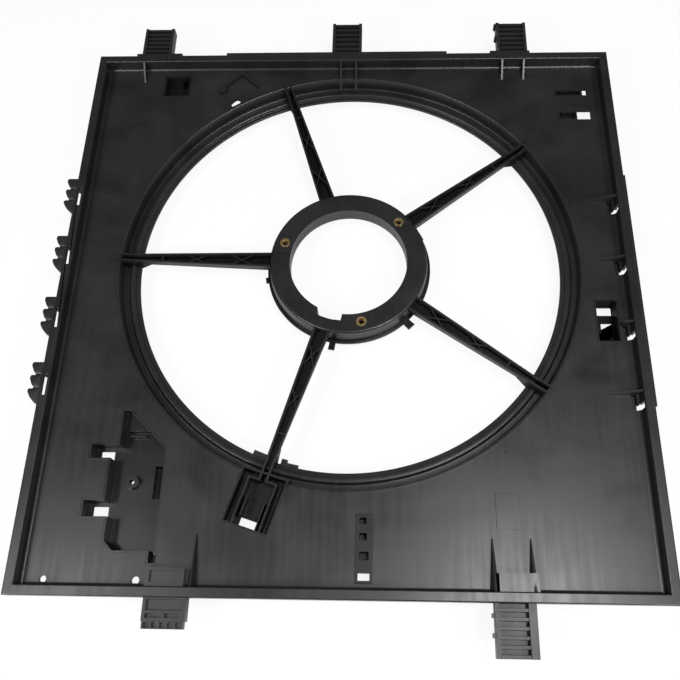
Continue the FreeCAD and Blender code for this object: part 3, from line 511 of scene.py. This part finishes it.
# --- Clips and catches ----------------------------------------------------------------
# Stiff moulded features round the rim: ribbed clips for the radiator's tanks, and fins
# with slits for the neighbouring part's tongues.

clip_nylon = nylon("clip_nylon", 0.010, 0.017, 0.42, 0.16)
for name in ("top_clip_left", "top_clip_middle", "top_clip_right", "bottom_clip_left",
             "bottom_clip_right", "side_catch_1", "side_catch_2", "side_catch_3", "side_catch_4"):
    moulded(name, clip_nylon, FINE_EDGE)

# --- Wire hooks -----------------------------------------------------------------------
# Four thin plates outside the left lip, each with three barbs like small cups one over
# the other, moulded in one with the rim, that a wire is pushed under.

HOOK_PLATE = 4.0
HOOK_UPPER = 23.5
CROWN = 1.35


def mound(outline, low, edge, top):
    """A closed shape over an outline: upright sides from low to edge, then a crown whose
    outline shrinks towards its middle by the cosine of an angle while it rises from edge
    to top by the sine. Gives its points, its side faces and its two caps."""
    middle = outline.mean(axis=0)
    angle = np.linspace(0.0, CROWN, 8)
    shrink = np.concatenate([[1.0], np.cos(angle)])[:, None, None]
    height = np.concatenate([[low], edge + (top - edge) * np.sin(angle) / math.sin(CROWN)])
    flat = middle + (outline - middle)[None] * shrink
    rise = np.broadcast_to(height[:, None, None], flat.shape[:2] + (1,))
    points = np.concatenate([flat, rise], axis=-1).reshape(-1, 3)
    rows, count = flat.shape[:2]
    row = np.arange(rows - 1)[:, None]
    column = np.arange(count)[None, :]
    ahead = (column + 1) % count
    sides = np.stack([row * count + column, row * count + ahead, (row + 1) * count + ahead,
                      (row + 1) * count + column], axis=-1).reshape(-1, 4)
    caps = np.stack([np.arange(count)[::-1], np.arange((rows - 1) * count, rows * count)])
    return points, sides, caps


BARBS = (
    [(0.0, 23.5, 0.1), (-12.0, 23.5, 1.3), (-13.0, 19.8, 1.6), (-9.6, 12.4, 1.8), (-6.8, 9.4, 0.8),
     (0.0, 9.4, 0.1)],
    [(0.0, 8.6, 0.1), (-11.9, 8.2, 1.2), (-12.9, 4.9, 1.5), (-9.8, -2.4, 1.8), (-6.6, -6.0, 0.8),
     (0.0, -6.0, 0.1)],
    [(0.0, -6.9, 0.1), (-12.3, -7.4, 1.2), (-13.0, -10.4, 1.5), (-9.4, -17.2, 2.2),
     (-2.4, -24.6, 2.2), (0.0, -25.0, 0.1)],
)
WEB = [(0.0, 22.5, 0.1), (-9.5, 22.0, 1.0), (-6.5, 9.2, 2.0), (-9.5, 7.0, 1.0), (-5.6, -6.4, 2.0),
       (-9.0, -9.0, 1.0), (-7.0, -17.5, 2.0), (-1.5, -24.6, 1.0), (0.0, -25.0, 0.1)]
for place in range(1, 5):
    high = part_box("wire_hook_%d" % place)[1]
    wall_side = np.array([high[0], high[1]]) / METRE - np.array([0.0, HOOK_UPPER])
    top = high[2] / METRE
    parts = [mound(rounded(WEB, 5) + wall_side, top - HOOK_PLATE, top - 1.5, top - 1.3)]
    for barb in BARBS:
        parts.append(mound(rounded(barb, 6) + wall_side, top - HOOK_PLATE + 0.3, top - 1.1, top))
    faces = []
    start = 0
    for part_points, sides, caps in parts:
        faces += (sides + start).tolist() + (caps + start).tolist()
        start += len(part_points)
    points = np.concatenate([part[0] for part in parts])
    hook = mesh_piece("wire_hook_%d_cups" % place, points, faces, clip_nylon)
    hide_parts("wire_hook_%d" % place)

# --- Pockets in the panel -------------------------------------------------------------
# Open-topped boxes hung under the panel for the control module, plugs, ties and latches.

# A shade darker than the panel and falling to 0.2 of itself with depth: painted shade in the
# pockets.
pocket_nylon = nylon("pocket_nylon", 0.007, 0.013, 0.40, 0.2, (-0.003, -0.010, 0.2))
pocket_shader = pocket_nylon.node_tree.nodes["Principled BSDF"]
pocket_shader.inputs["Specular IOR Level"].default_value = DULL
for name in ("corner_recess", "latch_well", "tongue_slot_upper", "tongue_slot_lower", "tie_strip",
             "connector_holder"):
    moulded(name, pocket_nylon, FINE_EDGE)
# The colour falls to 0.4 of itself from 3 to 13 mm deep: painted shade on the bay's floor and
# walls.
bay_nylon = nylon("bay_nylon", 0.007, 0.014, 0.31, 0.08, (-0.003, -0.013, 0.4))
for name in ("module_bay", "wire_rib"):
    moulded(name, bay_nylon, FINE_EDGE)

# --- Floor and light ------------------------------------------------------------------
# A pale plain floor a little below the part. Two soft lamps in front light the rounded
# shoulders and beads, and two above lie as sheens on the lower corners of the panel.

FLOOR_Z = cad_box[0].z - 0.0005
HALF = 6.0
SEEN_GLOW = 0.9
SKY = 0.16
floor_mesh = bpy.data.meshes.new("floor")
floor_mesh.from_pydata([(-HALF, -HALF, FLOOR_Z), (HALF, -HALF, FLOOR_Z), (HALF, HALF, FLOOR_Z),
                        (-HALF, HALF, FLOOR_Z)], [], [(0, 1, 2, 3)])
floor = bpy.data.objects.new("floor", floor_mesh)
scene.collection.objects.link(floor)
paper = bpy.data.materials.new("pale_floor")
paper.use_nodes = True
paper_tree = paper.node_tree
paper_shader = paper_tree.nodes["Principled BSDF"]
paper_shader.inputs["Base Color"].default_value = (0.9, 0.9, 0.9, 1)
paper_shader.inputs["Roughness"].default_value = 0.9
glow = paper_tree.nodes.new("ShaderNodeEmission")
glow.inputs["Strength"].default_value = 1.0
rays = paper_tree.nodes.new("ShaderNodeLightPath")
mix = paper_tree.nodes.new("ShaderNodeMixShader")
part_seen = paper_tree.nodes.new("ShaderNodeMath")
part_seen.operation = "MULTIPLY"
part_seen.inputs[1].default_value = SEEN_GLOW
link(paper_tree, (rays, "Is Camera Ray"), (part_seen, 0))
link(paper_tree, (part_seen, 0), (mix, "Fac"))
link(paper_tree, (paper_shader, 0), (mix, 1))
link(paper_tree, (glow, 0), (mix, 2))
link(paper_tree, (mix, 0), (paper_tree.nodes["Material Output"], "Surface"))
floor_mesh.materials.append(paper)

world = bpy.data.worlds.new("world")
scene.world = world
world.use_nodes = True
world_tree = world.node_tree
sky = world_tree.nodes["Background"]
sky.inputs["Color"].default_value = (1, 1, 1, 1)
sky_rays = world_tree.nodes.new("ShaderNodeLightPath")
level = world_tree.nodes.new("ShaderNodeMapRange")
level.inputs["To Min"].default_value = SKY
level.inputs["To Max"].default_value = 1.0
link(world_tree, (sky_rays, "Is Camera Ray"), (level, "Value"))
link(world_tree, (level, "Result"), (sky, "Strength"))


def lamp(name, place, target, power, size):
    """A soft square lamp at a place, turned to a target."""
    light = bpy.data.lights.new(name, "AREA")
    light.energy = power
    light.size = size
    holder = bpy.data.objects.new(name, light)
    holder.location = place
    holder.rotation_euler = (Vector(target) - Vector(place)).to_track_quat("-Z", "Y").to_euler()
    scene.collection.objects.link(holder)


lamp("front_left", (-1.05, -0.95, 1.15), (0, 0, 0), 13, 0.4)
lamp("front_right", (0.95, -1.0, 1.15), (0, 0, 0), 13, 0.4)
lamp("right_sheen", (0.56, -0.36, 2.0), (0.17, -0.36, 0), 20, 0.45)
lamp("left_sheen", (-1.12, -0.40, 2.0), (-0.27, -0.36, 0), 9, 0.4)

scene.view_settings.view_transform = "Standard"
